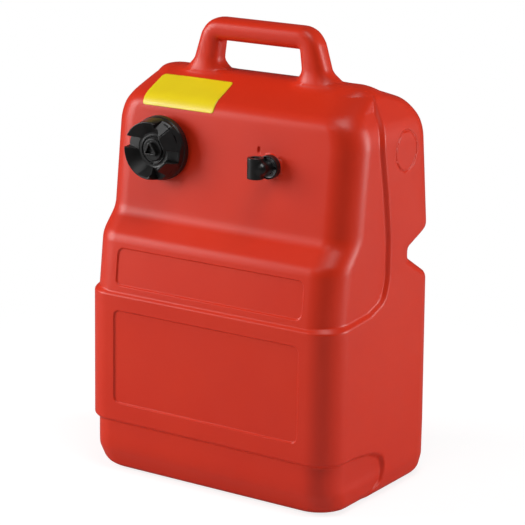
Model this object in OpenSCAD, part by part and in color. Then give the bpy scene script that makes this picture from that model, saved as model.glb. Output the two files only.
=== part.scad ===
// Portable outboard fuel tank: a blow-moulded shell with its handle, a vented filler cap and a
// swivel fuel outlet with its pickup tube. Millimetres, +Z up, front towards -Y, and the origin
// on the ground under the middle of the tank.

/* [Tank] */
// Width across the flat sides
tank_w = 330; // [300:5:400]
// Depth over the belt and the back
tank_d = 224; // [210:2:270]
// Height of the shoulder, where the handle rises
shoulder_z = 457; // [440:1:550]
// Wall of the moulded shell
wall = 3.2; // [2.4:0.2:4]
// Radius of the upright corners, seen from above
corner_r = 33; // [24:1:36]
// Radius where each side bends into its shoulder
shoulder_r = 45; // [30:1:52]
// How far each shoulder slopes inwards
shoulder_in = 27; // [20:1:32]
// Lower edge of the raised belt
belt_low = 63; // [50:1:80]
// Upper edge of the raised belt
belt_high = 208; // [180:2:212]
// How far the belt and the back half stand proud of the rest
belt_step = 4.5; // [2:0.5:6]
// Half length of the flat that the tank stands on, across its depth
foot_half_d = 88; // [60:1:92]
// Half length of the flat that the tank stands on, across its width
foot_half_w = 132; // [100:1:138]

/* [Face and back] */
// Height where the ledge over the belt starts
ledge_low = 274; // [262:1:278]
// Height where the ledge ends in the upper face
ledge_high = 299; // [294:1:310]
// How far the ledge sets the upper face back
ledge_back = 23; // [16:1:30]
// Height where the upper face bends into the top
brow_z = 428; // [415:1:434]
// How far the upper face leans back between ledge and brow
face_lean = 14; // [6:1:20]
// Height of the channel across the back
channel_z = 268.5; // [255:0.5:280]
// Height of the channel's flat bottom
channel_h = 14.5; // [12:0.5:26]
// Depth of the channel
channel_depth = 43; // [20:1:50]
// How far the channel's upper flank opens out
channel_flare = 16; // [10:1:22]

/* [Panels] */
// Width of the two sunk panels
panel_w = 244; // [180:2:250]
// Depth of the sunk panels
panel_sink = 1.2; // [0.6:0.2:1.6]
// Radius of the panels' corners
panel_r = 7; // [3:1:12]
// Margin between the lower panel and the belt's edges
panel_margin = 18; // [12:1:30]
// Height of the upper panel
upper_panel_h = 42; // [30:1:46]

/* [Handle] */
// Height of the handle over the shoulder
handle_rise = 58; // [50:1:75]
// Half distance between the legs' middles where they meet the grip
grip_half = 63; // [56:1:72]
// How far each leg spreads from grip to shoulder
leg_spread = 11.5; // [8:0.5:20]
// Height of the grip bar's section
grip_h = 24; // [20:1:28]
// Depth of the grip bar's section
grip_d = 30; // [24:1:36]
// Extra half width that each leg gains at its foot
foot_flare = 9; // [4:1:14]

/* [Filler] */
// Distance of the filler from the middle plane, towards -X
filler_x = 83; // [75:1:88]
// Height of the filler's axis
filler_z = 376; // [374:1:380]
// Bore of the filler neck
neck_bore = 42; // [32:1:44]
// Thickness of the neck's wall, with its thread
neck_wall = 5; // [3.5:0.5:6]
// Length of the neck that the cap screws on
neck_reach = 11; // [9:1:14]

/* [Cap] */
// Diameter of the cap at its base
cap_d = 72; // [68:1:76]
// Diameter over the tips of the cap's crown
crown_d = 64; // [60:1:70]
// Height of the cap from base to tips
cap_h = 27; // [25:1:30]
// Number of lobes in the crown
lobes = 6; // [4:1:8]
// Width of the notches between the lobes
notch_w = 12; // [8:1:16]
// Thickness of the plate that closes the neck
plate_t = 3; // [2:0.5:4]
// Thickness of the gasket
gasket_t = 2; // [1.5:0.5:3]
// Diameter of the vent knob
knob_d = 25; // [20:1:30]
// Height of the vent knob
knob_h = 7.5; // [5:0.5:9]
// Diameter of the vent stem
stem_d = 8; // [6:0.5:9]
// How far the vent knob rises when it is opened
vent_rise = 1.5; // [1:0.5:2]

/* [Outlet] */
// Distance of the outlet's axis from the middle plane, towards +X
outlet_x = 58; // [55:1:75]
// Height of the outlet's axis
outlet_z = 372.5; // [366:0.5:376]
// Diameter of the outlet's cup
cup_d = 26; // [25:0.5:30]
// Depth of the cup in front of its floor
cup_depth = 4.5; // [4:0.5:6]
// Diameter of the threaded tail through the wall
tail_d = 18; // [16:1:20]
// Diameter of the upright port barrel
barrel_d = 18; // [16:1:20]
// Height of the port barrel
barrel_h = 23; // [20:1:28]
// Distance from the outlet's axis to the barrel's
barrel_offset = 8; // [6:0.5:12]
// Bore of the port, at the root of its thread
port_d = 11.2; // [9:0.2:12]
// Depth of the port
port_depth = 14; // [10:1:16]
// Bore of the fuel passage
passage_d = 5; // [4:0.5:6]

/* [Pickup] */
// Outer diameter of the pickup tube
tube_d = 12; // [10:1:14]
// Wall of the pickup tube
tube_wall = 1.6; // [1.2:0.2:2]
// Radius of the tube's bend
bend_r = 25; // [18:1:30]
// Diameter of the strainer
strainer_d = 20; // [17:1:24]
// Height of the strainer
strainer_h = 29; // [22:1:36]
// Gap between the strainer and the floor of the tank
strainer_gap = 2.5; // [1:0.5:5]

/* [Label] */
// Width of the blank label
label_w = 95; // [60:1:110]
// Distance of the label's middle from the tank's, towards -X
label_x = 69.5; // [60:0.5:72]
// Height of the label's lower edge
label_low = 419; // [415:1:424]
// Height of the label's upper edge
label_high = 447; // [440:1:450]
// Thickness of the label
label_t = 0.4; // [0.2:0.1:0.8]

/* [Fits] */
// Gap between parts that move past each other
gap = 0.3; // [0.2:0.05:0.4]
// Radial clearance of a running fit
fit = 0.05; // [0.02:0.01:0.1]

/* [Hidden] */

red = [0.78, 0.13, 0.08];
black = [0.10, 0.10, 0.11];
yellow = [0.96, 0.86, 0.10];
$fn = 64;
arc_steps = 4;      // chords in each fillet of a profile
corner_steps = 5;   // chords in each upright corner
level_gap = 2.2;    // least height between two sections of the shell
cavity_gap = 5;     // and between two sections of the hollow
edge_h = 4.5;       // height of the belt's bevelled edges
front_share = 2 / 3;    // the front lies back only this much of what the flanks do

front_y = -tank_d / 2;
back_y = tank_d / 2;
half_w = tank_w / 2;
handle_z = shoulder_z + handle_rise;

// ---- outlines -----------------------------------------------------------------------------------

function unit(v) = v / norm(v);
function bearing(v) = atan2(v[1], v[0]);
function short_turn(a) = a > 180 ? a - 360 : a < -180 ? a + 360 : a;

// The arc of radius r that rounds the corner q between p and s, never longer than its sides
function corner_arc(p, q, s, r, steps) =
    let (
        u = unit(p - q),
        v = unit(s - q),
        half = acos(u * v) / 2,
        reach = min(r / tan(half), 0.49 * norm(p - q), 0.49 * norm(s - q)),
        centre = q + unit(u + v) * reach / cos(half),
        start = bearing(q + u * reach - centre),
        turn = short_turn(bearing(q + v * reach - centre) - start),
        radius = reach * tan(half)
    )
    [for (i = [0:steps]) centre + radius * [cos(start + turn * i / steps), sin(start + turn * i / steps)]];

// An open outline through corners [a, b, radius], with every corner rounded by an arc
function rounded_line(c, steps) = [
    for (i = [0:len(c) - 1])
        let (q = [c[i][0], c[i][1]])
        if (i == 0 || i == len(c) - 1 || c[i][2] == 0) q
        else each corner_arc([c[i - 1][0], c[i - 1][1]], q, [c[i + 1][0], c[i + 1][1]], c[i][2], steps)
];

// Numbers in rising order, without repeats
function sorted(v) =
    len(v) < 2 ? v : let (p = v[floor(len(v) / 2)])
        concat(sorted([for (x = v) if (x < p) x]), [p], sorted([for (x = v) if (x > p) x]));

// The same numbers, thinned so that neighbours lie at least a step apart
function thinned(v, step, i = 0, last = -1000) =
    i == len(v) ? [] : v[i] - last < step ? thinned(v, step, i + 1, last)
        : concat([v[i]], thinned(v, step, i + 1, v[i]));

// ---- the shell's profiles, each as [height, distance] ---------------------------------------

foot_rise = 3;          // the bottom lifts this much towards its rounded edge
heel_z = 30;            // height where the bottom's rounding ends
sill_y = front_y + 7;   // the front where the ledge starts
face_y = sill_y + ledge_back;
ridge_half = 8;         // half depth of the flat ridge on the top
top_crown = 1;          // the top rises this much from shoulder to middle

front_line = rounded_line([
    [0, -foot_half_d, 0],
    [foot_rise, front_y + 15, 22],
    [heel_z, front_y, 30],
    [belt_high + 4, front_y, 30],
    [ledge_low, sill_y, 22],
    [ledge_high, face_y, 24],
    [brow_z, face_y + face_lean, 22],
    [shoulder_z - 2, -ridge_half - 3, 14],
    [shoulder_z, -ridge_half + 4, 0]
], arc_steps);

lower_lip_y = back_y - 4.7;   // the back just under the channel
upper_lip_y = back_y - 6.7;   // and just over it
floor_y = lower_lip_y - channel_depth;
back_line = rounded_line([
    [0, foot_half_d - 8, 0],
    [foot_rise / 2, back_y - 3, 16],
    [heel_z - 8, back_y, 20],
    [heel_z + 35, back_y, 60],
    [channel_z - channel_h / 2 - 1.55 * channel_flare, lower_lip_y, 10],
    [channel_z - channel_h / 2, floor_y, 8],
    [channel_z + channel_h / 2, floor_y, 7],
    [channel_z + channel_h / 2 + channel_flare, upper_lip_y, 8],
    [brow_z + 4, back_y - 25, 34],
    [shoulder_z - 1, ridge_half + 6, 14],
    [shoulder_z, ridge_half - 3, 0]
], arc_steps);

side_line = rounded_line([
    [0, foot_half_w, 0],
    [foot_rise / 2, half_w - 4.5, 16],
    [heel_z - 6, half_w, 24],
    [shoulder_z - 46, half_w, shoulder_r],
    [shoulder_z - top_crown, half_w - shoulder_in, 12],
    [shoulder_z, half_w - shoulder_in - 20, 0]
], arc_steps + 1);

// The line on each side where the sunk front region steps out to the proud back half
step_line = rounded_line([
    [0, -40, 0],
    [10, -10, 12],
    [belt_low - 31, 7, 14],
    [belt_low - 13, 0, 8],
    [belt_low - 3, -34, 6],
    [belt_low, -80, 0],
    [belt_high, -80, 0],
    [belt_high + 8, -26, 8],
    [belt_high + 20, -3, 14],
    [belt_high + 42, 4.5, 30],
    [ledge_high - 6, 3, 60],
    [shoulder_z - 60, -13.5, 60],
    [shoulder_z - 32, -15, 20],
    [shoulder_z, 2, 0]
], arc_steps);

// How far the front region lies back from the proud surface at a height
recess_line = [
    [4, 0],
    [16, belt_step],
    [belt_low - edge_h, belt_step],
    [belt_low, 0],
    [belt_high, 0],
    [belt_high + edge_h, belt_step],
    [brow_z, belt_step],
    [shoulder_z - 8, 0]
];

function window(z, reach) = [max(z - reach, 0), z, min(z + reach, shoulder_z)];
function front_at(z, inset = 0) =
    inset + max([for (h = window(z, inset)) lookup(h, front_line) + front_share * lookup(h, recess_line)]);
function back_at(z, inset = 0) = min([for (h = window(z, inset)) lookup(h, back_line)]) - inset;
function side_at(z, inset = 0) = min([for (h = window(z, inset)) lookup(h, side_line)]) - inset;
function recess_at(z, inset = 0) = max([for (h = window(z, inset)) lookup(h, recess_line)]);
function step_at(z, inset = 0) = max([for (h = window(z, 1.5 * inset)) lookup(h, step_line)]) + inset / 2;

// Heights of the sections: those where a profile bends, and the belt's sharp edges
edges = [0, belt_low - edge_h, belt_low, belt_high, belt_high + edge_h, shoulder_z];
bends = sorted([for (line = [front_line, back_line, side_line, step_line]) for (p = line) p[0]]);
function near_edge(z, reach) = min([for (e = edges) abs(z - e)]) < reach;
levels = sorted(concat(edges, [for (z = thinned(bends, level_gap)) if (!near_edge(z, 1.2)) z]));
cavity_top = shoulder_z - wall - 5;
inner_levels = concat(
    [wall],
    [for (z = thinned(bends, cavity_gap)) if (z > wall + 1 && z < cavity_top - 1) z],
    [cavity_top]
);

// ---- lofts --------------------------------------------------------------------------------------

function arc_points(x, y, r, from, to, steps) =
    [for (i = [0:steps]) let (a = from + (to - from) * i / steps) [x + r * cos(a), y + r * sin(a)]];

// The right half of a level section, from the front to the back
function half_section(z, inset, steps) =
    let (
        front = front_at(z, inset),
        back = back_at(z, inset),
        side = side_at(z, inset),
        near_side = side - recess_at(z, inset),
        r = max(min(corner_r - inset, (back - front) / 2 - 3), 1.5),
        bevel = belt_step,
        step = min(max(step_at(z, inset), front + r + bevel + 0.5), back - r - 0.5)
    )
    concat(
        arc_points(near_side - r, front + r, r, -90, 0, steps),
        [[near_side, step - bevel], [side, step]],
        arc_points(side - r, back - r, r, 0, 90, steps)
    );

function full_section(z, inset, steps) =
    let (h = half_section(z, inset, steps), n = len(h))
    concat([for (p = h) [p[0], p[1], z]], [for (i = [n - 1:-1:0]) [-h[i][0], h[i][1], z]]);

// The faces of a stack of closed rings, with the same number of points in each
function ring_faces(rings, n) = concat(
    [[for (i = [0:n - 1]) i]],
    [
        for (k = [0:rings - 2], i = [0:n - 1])
            let (a = k * n + i, b = k * n + (i + 1) % n)
            each [[a, a + n, b], [b, a + n, b + n]]
    ],
    [[for (i = [n - 1:-1:0]) (rings - 1) * n + i]]
);

module loft(sections) {
    polyhedron([for (s = sections) each s], ring_faces(len(sections), len(sections[0])), 3);
}

// ---- handle -------------------------------------------------------------------------------------

handle_y = -2.7;         // the handle stands on the parting line, just before the middle
grip_z = handle_z - grip_h / 2;
root_z = shoulder_z - 20;
handle_route = rounded_line([
    [-grip_half - leg_spread - 3, root_z, 0],
    [-grip_half, grip_z, 14],
    [grip_half, grip_z, 14],
    [grip_half + leg_spread + 3, root_z, 0]
], 6);

// Points added along the legs, where the section widens into the foot
leg_marks = [0.12, 0.24, 0.36, 0.46, 0.56, 0.66, 0.78, 0.9];
function between(p, q, t) = p + (q - p) * t;
handle_points = let (n = len(handle_route)) concat(
    [handle_route[0]],
    [for (t = leg_marks) between(handle_route[0], handle_route[1], t)],
    [for (i = [1:n - 2]) handle_route[i]],
    [for (i = [len(leg_marks) - 1:-1:0]) between(handle_route[n - 1], handle_route[n - 2], leg_marks[i])],
    [handle_route[n - 1]]
);

flare_z = shoulder_z + 14;
function flare(z) = pow(max(0, (flare_z - z) / (flare_z - shoulder_z)), 2);
function leg_half(z) = grip_h / 2 + 2.5 * (grip_z - z) / 24 + foot_flare * min(flare(z), 1.4);
function leg_depth(z) = grip_d / 2 + 2.5 * min(flare(z), 1);

handle_sides = 16;
roundness = 2.6;
function bulge(t) = sign(t) * pow(abs(t), 2 / roundness);

function handle_ring(i, inset) =
    let (
        p = handle_points,
        a = p[max(i - 1, 0)],
        b = p[min(i + 1, len(p) - 1)],
        along = unit(b - a),
        across = [-along[1], along[0]],
        w = leg_half(p[i][1]) - inset,
        d = leg_depth(p[i][1]) - inset
    )
    [
        for (k = [0:handle_sides - 1])
            let (t = 360 * k / handle_sides, q = p[i] + across * w * bulge(cos(t)))
            [q[0], handle_y + d * bulge(sin(t)), q[1]]
    ];

module handle(inset) {
    loft([for (i = [len(handle_points) - 1:-1:0]) handle_ring(i, inset)]);
}

// ---- places on the front face -------------------------------------------------------------------

// Moves children so that their +Z axis leaves the tank through its front
module on_front(x, y, z) {
    translate([x, y, z])
        rotate([90, 0, 0])
            children();
}

// Filler: distances along its axis are measured forward from the cap's base
cap_y = front_at(filler_z - cap_d / 2) - 1;
neck_y = cap_y - neck_reach;
neck_d = neck_bore + 2 * neck_wall;
plate_y = neck_y - gasket_t;
knob_y = plate_y - plate_t - gap;

// Outlet
boss_d = cup_d + 1;
boss_y = front_at(outlet_z - boss_d / 2) - 0.8;
seal_t = 0.8;
floor_t = 1.7;
cup_y = boss_y - seal_t;
cup_floor_y = cup_y - floor_t;
cup_rim_y = cup_floor_y - cup_depth;
barrel_y = cup_rim_y - 2 * gap - barrel_d / 2;
seat_y = front_at(outlet_z + boss_d / 2) + wall + 1;
nut_t = 6;
tail_y = seat_y + nut_t + 3;
barb_l = 12;

// ---- tank ---------------------------------------------------------------------------------------

module rounded_plate(w, h, r, t) {
    linear_extrude(t)
        union() {
            square([w - 2 * r, h], center = true);
            square([w, h - 2 * r], center = true);
            for (x = [-1, 1], y = [-1, 1])
                translate([x * (w / 2 - r), y * (h / 2 - r)])
                    circle(r);
        }
}

module lower_panel() {
    h = belt_high - belt_low - 2 * panel_margin;
    translate([0, front_y + panel_sink, (belt_high + belt_low) / 2])
        rotate([90, 0, 0])
            rounded_plate(panel_w, h, panel_r, 5);
}

module upper_panel() {
    low = belt_high + edge_h + 11;
    high = low + upper_panel_h;
    lean = atan((front_at(high) - front_at(low)) / upper_panel_h);
    translate([0, (front_at(low) + front_at(high)) / 2 + panel_sink, (low + high) / 2])
        rotate([90 - lean, 0, 0])
            rounded_plate(panel_w, upper_panel_h, panel_r, 5);
}

module tank_body() {
    collar_y = front_at(filler_z + neck_d / 2) + 2;
    color(red)
        difference() {
            union() {
                difference() {
                    union() {
                        loft([for (z = levels) full_section(z, 0, corner_steps)]);
                        handle(0);
                    }
                    loft([for (z = inner_levels) full_section(z, wall, corner_steps - 1)]);
                    handle(wall);
                }
                on_front(-filler_x, collar_y, filler_z)
                    cylinder(d = neck_d, h = collar_y - neck_y);
                on_front(outlet_x, seat_y, outlet_z)
                    cylinder(d = boss_d, h = seat_y - boss_y);
            }
            on_front(-filler_x, collar_y + 1, filler_z)
                cylinder(d = neck_bore, h = collar_y - neck_y + 2);
            on_front(outlet_x, seat_y + 1, outlet_z)
                cylinder(d = tail_d + 2 * fit, h = seat_y - boss_y + 2);
            lower_panel();
            upper_panel();
        }
}

module label() {
    heights = concat([label_low], [for (z = levels) if (z > label_low && z < label_high) z], [label_high]);
    back = [for (z = heights) [front_at(z), z]];
    n = len(back);
    function outward(i) =
        let (d = unit(back[min(i + 1, n - 1)] - back[max(i - 1, 0)])) [-d[1], d[0]];
    front = [for (i = [n - 1:-1:0]) back[i] + label_t * outward(i)];
    color(yellow)
        translate([-label_x - label_w / 2, 0, 0])
            rotate([90, 0, 90])
                linear_extrude(label_w)
                    polygon(concat(back, front));
}

// ---- filler cap ---------------------------------------------------------------------------------

insert_t = 3;
insert_d = neck_d + 2 * (gap + insert_t);
skirt_bore = insert_d + 3;
crown_bore = crown_d - 12;
rib_t = 2;

module ring(d_out, d_in, h) {
    difference() {
        cylinder(d = d_out, h = h);
        translate([0, 0, -1])
            cylinder(d = d_in, h = h + 2);
    }
}

// Distances along the cap's axis, from its base
plate_s = cap_y - plate_y;
plate_top_s = plate_s + plate_t;

module cap_shell() {
    shoulder_d = cap_d - 3;
    color(black)
        on_front(-filler_x, cap_y, filler_z)
            difference() {
                union() {
                    rotate_extrude()
                        polygon([
                            [skirt_bore / 2, 0],
                            [cap_d / 2, 0],
                            [shoulder_d / 2, plate_s],
                            [crown_d / 2, cap_h],
                            [crown_bore / 2 + 2, cap_h],
                            [crown_bore / 2, plate_top_s],
                            [0, plate_top_s],
                            [0, plate_s],
                            [skirt_bore / 2, plate_s]
                        ]);
                    for (a = [0:30:330])
                        rotate(a)
                            translate([insert_d / 2 + fit, -rib_t / 2, 2])
                                cube([(skirt_bore - insert_d) / 2 + 1, rib_t, plate_s - 2]);
                }
                for (i = [0:lobes - 1])
                    rotate(360 * i / lobes)
                        translate([crown_bore / 2 - 1, -notch_w / 2, plate_top_s])
                            cube([cap_d / 2, notch_w, cap_h]);
                translate([0, 0, plate_s - 1])
                    cylinder(d = stem_d + 2 * fit, h = plate_t + 2);
                translate([0, 0, plate_top_s - ring_seat])
                    cylinder(d = stem_d + 4 * ring_r + 1, h = ring_seat + 1);
                translate([0, -valve_offset, plate_s - 1])
                    cylinder(d = valve_stem_d + 2 * fit, h = plate_t + 2);
            }
}

module cap_insert() {
    lip = 1.2;
    color(black)
        on_front(-filler_x, cap_y - 0.8, filler_z)
            union() {
                ring(insert_d, neck_d + 2 * gap, plate_s - 0.8);
                for (a = [15:30:345])
                    rotate(a)
                        translate([insert_d / 2 - 0.5, -rib_t / 2, 2])
                            cube([lip + 0.5, rib_t, plate_s - 4]);
            }
}

module cap_gasket() {
    color([0.16, 0.15, 0.14])
        on_front(-filler_x, neck_y, filler_z)
            ring(neck_d, neck_bore - 2, gasket_t);
}

valve_d = 8.4;
valve_stem_d = 3;
valve_offset = (neck_bore - valve_d) / 2 - 2.3;

module umbrella_valve() {
    color([0.18, 0.17, 0.16])
        on_front(-filler_x, plate_y, filler_z)
            translate([0, -valve_offset, 0])
                union() {
                    translate([0, 0, -1.2])
                        cylinder(d1 = 6, d2 = valve_d, h = 1.2);
                    cylinder(d = valve_stem_d, h = plate_t);
                }
}

// ---- vent ---------------------------------------------------------------------------------------

ring_r = 0.9;
ring_seat = 2 * ring_r + 0.1;
clip_t = 1.2;
clip_s = vent_rise + 2 * gap;

module vent_knob() {
    stem_l = plate_t + gap + clip_s + clip_t + 1;
    color(black)
        on_front(-filler_x, knob_y, filler_z)
            union() {
                difference() {
                    cylinder(d = knob_d, h = knob_h);
                    for (a = [0:120:240])
                        rotate(a + 60)
                            translate([knob_d * 0.66, 0, 2])
                                cylinder(d = knob_d * 0.62, h = knob_h);
                    translate([0, 0, knob_h - 2.5])
                        cylinder(d = knob_d * 0.3, h = 3);
                }
                difference() {
                    translate([0, 0, -stem_l])
                        cylinder(d = stem_d, h = stem_l + 1);
                    translate([0, 0, -plate_t - gap - clip_s - clip_t])
                        ring(stem_d + 2, stem_d - 2, clip_t);
                }
            }
}

module vent_o_ring() {
    color([0.16, 0.15, 0.14])
        on_front(-filler_x, plate_y - plate_t + ring_r + 0.05, filler_z)
            rotate_extrude()
                translate([stem_d / 2 + ring_r + fit, 0])
                    circle(ring_r, $fn = 32);
}

module vent_clip() {
    color([0.62, 0.63, 0.65])
        on_front(-filler_x, plate_y + clip_s + clip_t, filler_z)
            difference() {
                cylinder(d = stem_d + 5, h = clip_t);
                translate([0, 0, -1])
                    cylinder(d = stem_d - 2, h = clip_t + 2);
                translate([-(stem_d - 3) / 2, 0, -1])
                    cube([stem_d - 3, stem_d, clip_t + 2]);
            }
}

// ---- outlet -------------------------------------------------------------------------------------

stem_r = 6;
shoulder_t = 1.4;
hub_d = 14;
clip_ring_t = 1;
stem_end_y = tail_y - 8;

module outlet_base() {
    barb_d = tube_d - 2 * tube_wall - 2 * fit;
    cup_wall = 1.5;
    color(black)
        on_front(outlet_x, tail_y + barb_l, outlet_z)
            difference() {
                union() {
                    cylinder(d = barb_d, h = barb_l + 1);
                    translate([0, 0, barb_l])
                        cylinder(d = tail_d, h = tail_y - cup_y + 1);
                    translate([0, 0, barb_l + tail_y - cup_y])
                        cylinder(d = cup_d, h = cup_y - cup_rim_y);
                }
                translate([0, 0, -1])
                    cylinder(d = passage_d, h = barb_l + 10);
                translate([0, 0, barb_l + tail_y - stem_end_y])
                    cylinder(r = stem_r + fit, h = stem_end_y - cup_rim_y + 1);
                translate([0, 0, barb_l + tail_y - cup_floor_y])
                    cylinder(d = cup_d - 2 * cup_wall, h = cup_depth + 1);
            }
}

module outlet_gasket() {
    color([0.16, 0.15, 0.14])
        on_front(outlet_x, boss_y, outlet_z)
            ring(cup_d, tail_d + 2 * fit, seal_t);
}

module outlet_nut() {
    color(black)
        on_front(outlet_x, seat_y + nut_t, outlet_z)
            difference() {
                cylinder(d = tail_d + 12, h = nut_t, $fn = 6);
                translate([0, 0, -1])
                    cylinder(d = tail_d + 2 * fit, h = nut_t + 2);
            }
}

groove_w = 2;
groove_y = (cup_floor_y + stem_end_y) / 2;
o_ring_r = 0.8;

module outlet_elbow() {
    hub_y = cup_floor_y - gap;
    arm_d = 13;
    color(black)
        difference() {
            union() {
                on_front(outlet_x, stem_end_y - gap, outlet_z)
                    cylinder(r = stem_r, h = stem_end_y - gap - hub_y + 1);
                on_front(outlet_x, hub_y, outlet_z)
                    cylinder(d = hub_d + 4, h = shoulder_t);
                on_front(outlet_x, hub_y, outlet_z)
                    cylinder(d = hub_d, h = hub_y - barrel_y);
                translate([outlet_x, barrel_y, outlet_z])
                    sphere(d = hub_d);
                translate([outlet_x - barrel_offset, barrel_y, outlet_z])
                    rotate([0, 90, 0])
                        cylinder(d = arm_d, h = barrel_offset);
                translate([outlet_x - barrel_offset, barrel_y, outlet_z - barrel_h / 2])
                    cylinder(d = barrel_d, h = barrel_h);
            }
            translate([outlet_x - barrel_offset, barrel_y, outlet_z + barrel_h / 2 - port_depth])
                cylinder(d = port_d, h = port_depth + 1);
            translate([outlet_x - barrel_offset, barrel_y, outlet_z - passage_d / 2])
                cylinder(d = passage_d, h = barrel_h / 2);
            translate([outlet_x - barrel_offset, barrel_y, outlet_z])
                rotate([0, 90, 0])
                    cylinder(d = passage_d, h = barrel_offset);
            on_front(outlet_x, stem_end_y + 1, outlet_z)
                cylinder(d = passage_d, h = stem_end_y + 1 - barrel_y);
            on_front(outlet_x, groove_y + groove_w / 2, outlet_z)
                ring(2 * stem_r + 2, 2 * (stem_r - 2 * o_ring_r), groove_w);
        }
}

module elbow_o_ring() {
    color([0.16, 0.15, 0.14])
        on_front(outlet_x, groove_y, outlet_z)
            rotate_extrude()
                translate([stem_r - o_ring_r + fit / 2, 0])
                    circle(o_ring_r - fit / 2, $fn = 32);
}

module elbow_clip() {
    color([0.62, 0.63, 0.65])
        on_front(outlet_x, cup_floor_y - shoulder_t - 2 * gap, outlet_z)
            difference() {
                cylinder(d = cup_d - 3, h = clip_ring_t);
                translate([0, 0, -1])
                    cylinder(d = hub_d + 2 * gap, h = clip_ring_t + 2);
                translate([0, -1.5, -1])
                    cube([cup_d, 3, clip_ring_t + 2]);
            }
}

// ---- pickup -------------------------------------------------------------------------------------

tube_start_y = tail_y + gap;
bend_y = tail_y + barb_l + 4;
tube_y = bend_y + bend_r;
floor_z = wall;
cage_z = floor_z + strainer_gap;
collar_h = 10;
tube_end_z = cage_z + strainer_h - collar_h;

module tube_run(d) {
    translate([outlet_x, tube_start_y, outlet_z])
        rotate([-90, 0, 0])
            cylinder(d = d, h = bend_y - tube_start_y);
    translate([outlet_x, bend_y, outlet_z - bend_r])
        rotate([0, -90, 0])
            rotate_extrude(angle = 90)
                translate([bend_r, 0])
                    circle(d = d);
    translate([outlet_x, tube_y, tube_end_z])
        cylinder(d = d, h = outlet_z - bend_r - tube_end_z);
}

module pickup_tube() {
    bore = tube_d - 2 * tube_wall;
    color([0.14, 0.14, 0.15])
        difference() {
            tube_run(tube_d);
            tube_run(bore);
        }
}

module tube_clamp() {
    clamp_w = 5;
    color([0.62, 0.63, 0.65])
        on_front(outlet_x, tube_start_y + 8, outlet_z)
            union() {
                ring(tube_d + 2 * fit + 1.6, tube_d + 2 * fit, clamp_w);
                for (x = [-2.5, 1.3])
                    translate([x, tube_d / 2 + 0.3, 0])
                        cube([1.2, 5.5, clamp_w]);
            }
}

module strainer_cage() {
    cage_wall = 1.5;
    slot_w = 3.2;
    band = 3;
    color([0.90, 0.90, 0.86])
        translate([outlet_x, tube_y, cage_z])
            difference() {
                cylinder(d = strainer_d, h = strainer_h);
                translate([0, 0, cage_wall])
                    cylinder(d = strainer_d - 2 * cage_wall, h = strainer_h - collar_h - cage_wall);
                translate([0, 0, strainer_h - collar_h - 1])
                    cylinder(d = tube_d + 2 * fit, h = collar_h + 2);
                for (a = [0:45:315])
                    rotate(a)
                        translate([strainer_d / 2 - cage_wall - 1, -slot_w / 2, cage_wall + band])
                            cube([cage_wall + 3, slot_w, strainer_h - collar_h - cage_wall - 2 * band]);
            }
}

module strainer_mesh() {
    mesh_t = 0.5;
    cage_wall = 1.5;
    bore = strainer_d - 2 * cage_wall - 2 * fit;
    color([0.75, 0.76, 0.74])
        translate([outlet_x, tube_y, cage_z + cage_wall + fit])
            ring(bore, bore - 2 * mesh_t, strainer_h - collar_h - 2 * cage_wall);
}

tank_body();
label();
cap_shell();
cap_insert();
cap_gasket();
umbrella_valve();
vent_knob();
vent_o_ring();
vent_clip();
outlet_base();
outlet_gasket();
outlet_nut();
outlet_elbow();
elbow_o_ring();
elbow_clip();
pickup_tube();
tube_clamp();
strainer_cage();
strainer_mesh();
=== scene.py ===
"""The looks of a portable fuel tank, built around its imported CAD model.

The moulded pieces are written as solids: functions of place, in millimetres, that are negative
inside, zero on the surface and positive outside. net() turns one into a mesh of quads whose
points and normals lie on the function's surface. Everything is in the frame of the CAD model:
+Z up and the front towards -Y.
"""

import functools
import math

import bpy
import numpy as np
from mathutils import Matrix, Vector


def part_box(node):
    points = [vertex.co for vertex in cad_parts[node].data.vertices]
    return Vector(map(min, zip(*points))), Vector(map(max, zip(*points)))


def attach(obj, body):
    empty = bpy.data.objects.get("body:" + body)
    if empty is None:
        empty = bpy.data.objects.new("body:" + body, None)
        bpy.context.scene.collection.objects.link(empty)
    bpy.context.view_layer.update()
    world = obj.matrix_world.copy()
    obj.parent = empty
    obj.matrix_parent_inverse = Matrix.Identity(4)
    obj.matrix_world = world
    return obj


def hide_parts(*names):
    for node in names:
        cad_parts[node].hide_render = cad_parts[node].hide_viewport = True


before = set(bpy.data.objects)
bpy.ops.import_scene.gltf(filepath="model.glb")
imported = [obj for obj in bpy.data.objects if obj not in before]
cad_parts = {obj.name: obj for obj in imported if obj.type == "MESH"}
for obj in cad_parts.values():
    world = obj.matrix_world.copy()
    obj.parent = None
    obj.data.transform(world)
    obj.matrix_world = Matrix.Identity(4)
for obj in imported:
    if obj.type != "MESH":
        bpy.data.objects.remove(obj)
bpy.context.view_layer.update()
MM = 0.001

# ---- sizes, in millimetres --------------------------------------------------------------------

# the shell: its box, its wall, its upright corners and its shoulders
TANK_W, TANK_D, SHOULDER_Z = 330.0, 224.0, 457.0
FRONT_Y, BACK_Y, HALF_W = -TANK_D / 2, TANK_D / 2, TANK_W / 2
WALL = 3.2
CORNER_R, SHOULDER_R, SHOULDER_IN = 33.0, 52.0, 28.2
RIDGE_HALF, TOP_CROWN = 8.0, 1.0
# the belt's edges and its step on the flanks, and the share of that step on the front and back
BELT_LOW, BELT_HIGH, BELT_STEP = 63.0, 208.0, 4.5
FRONT_SHARE, BACK_SHARE = 2 / 3, 0.3
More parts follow.
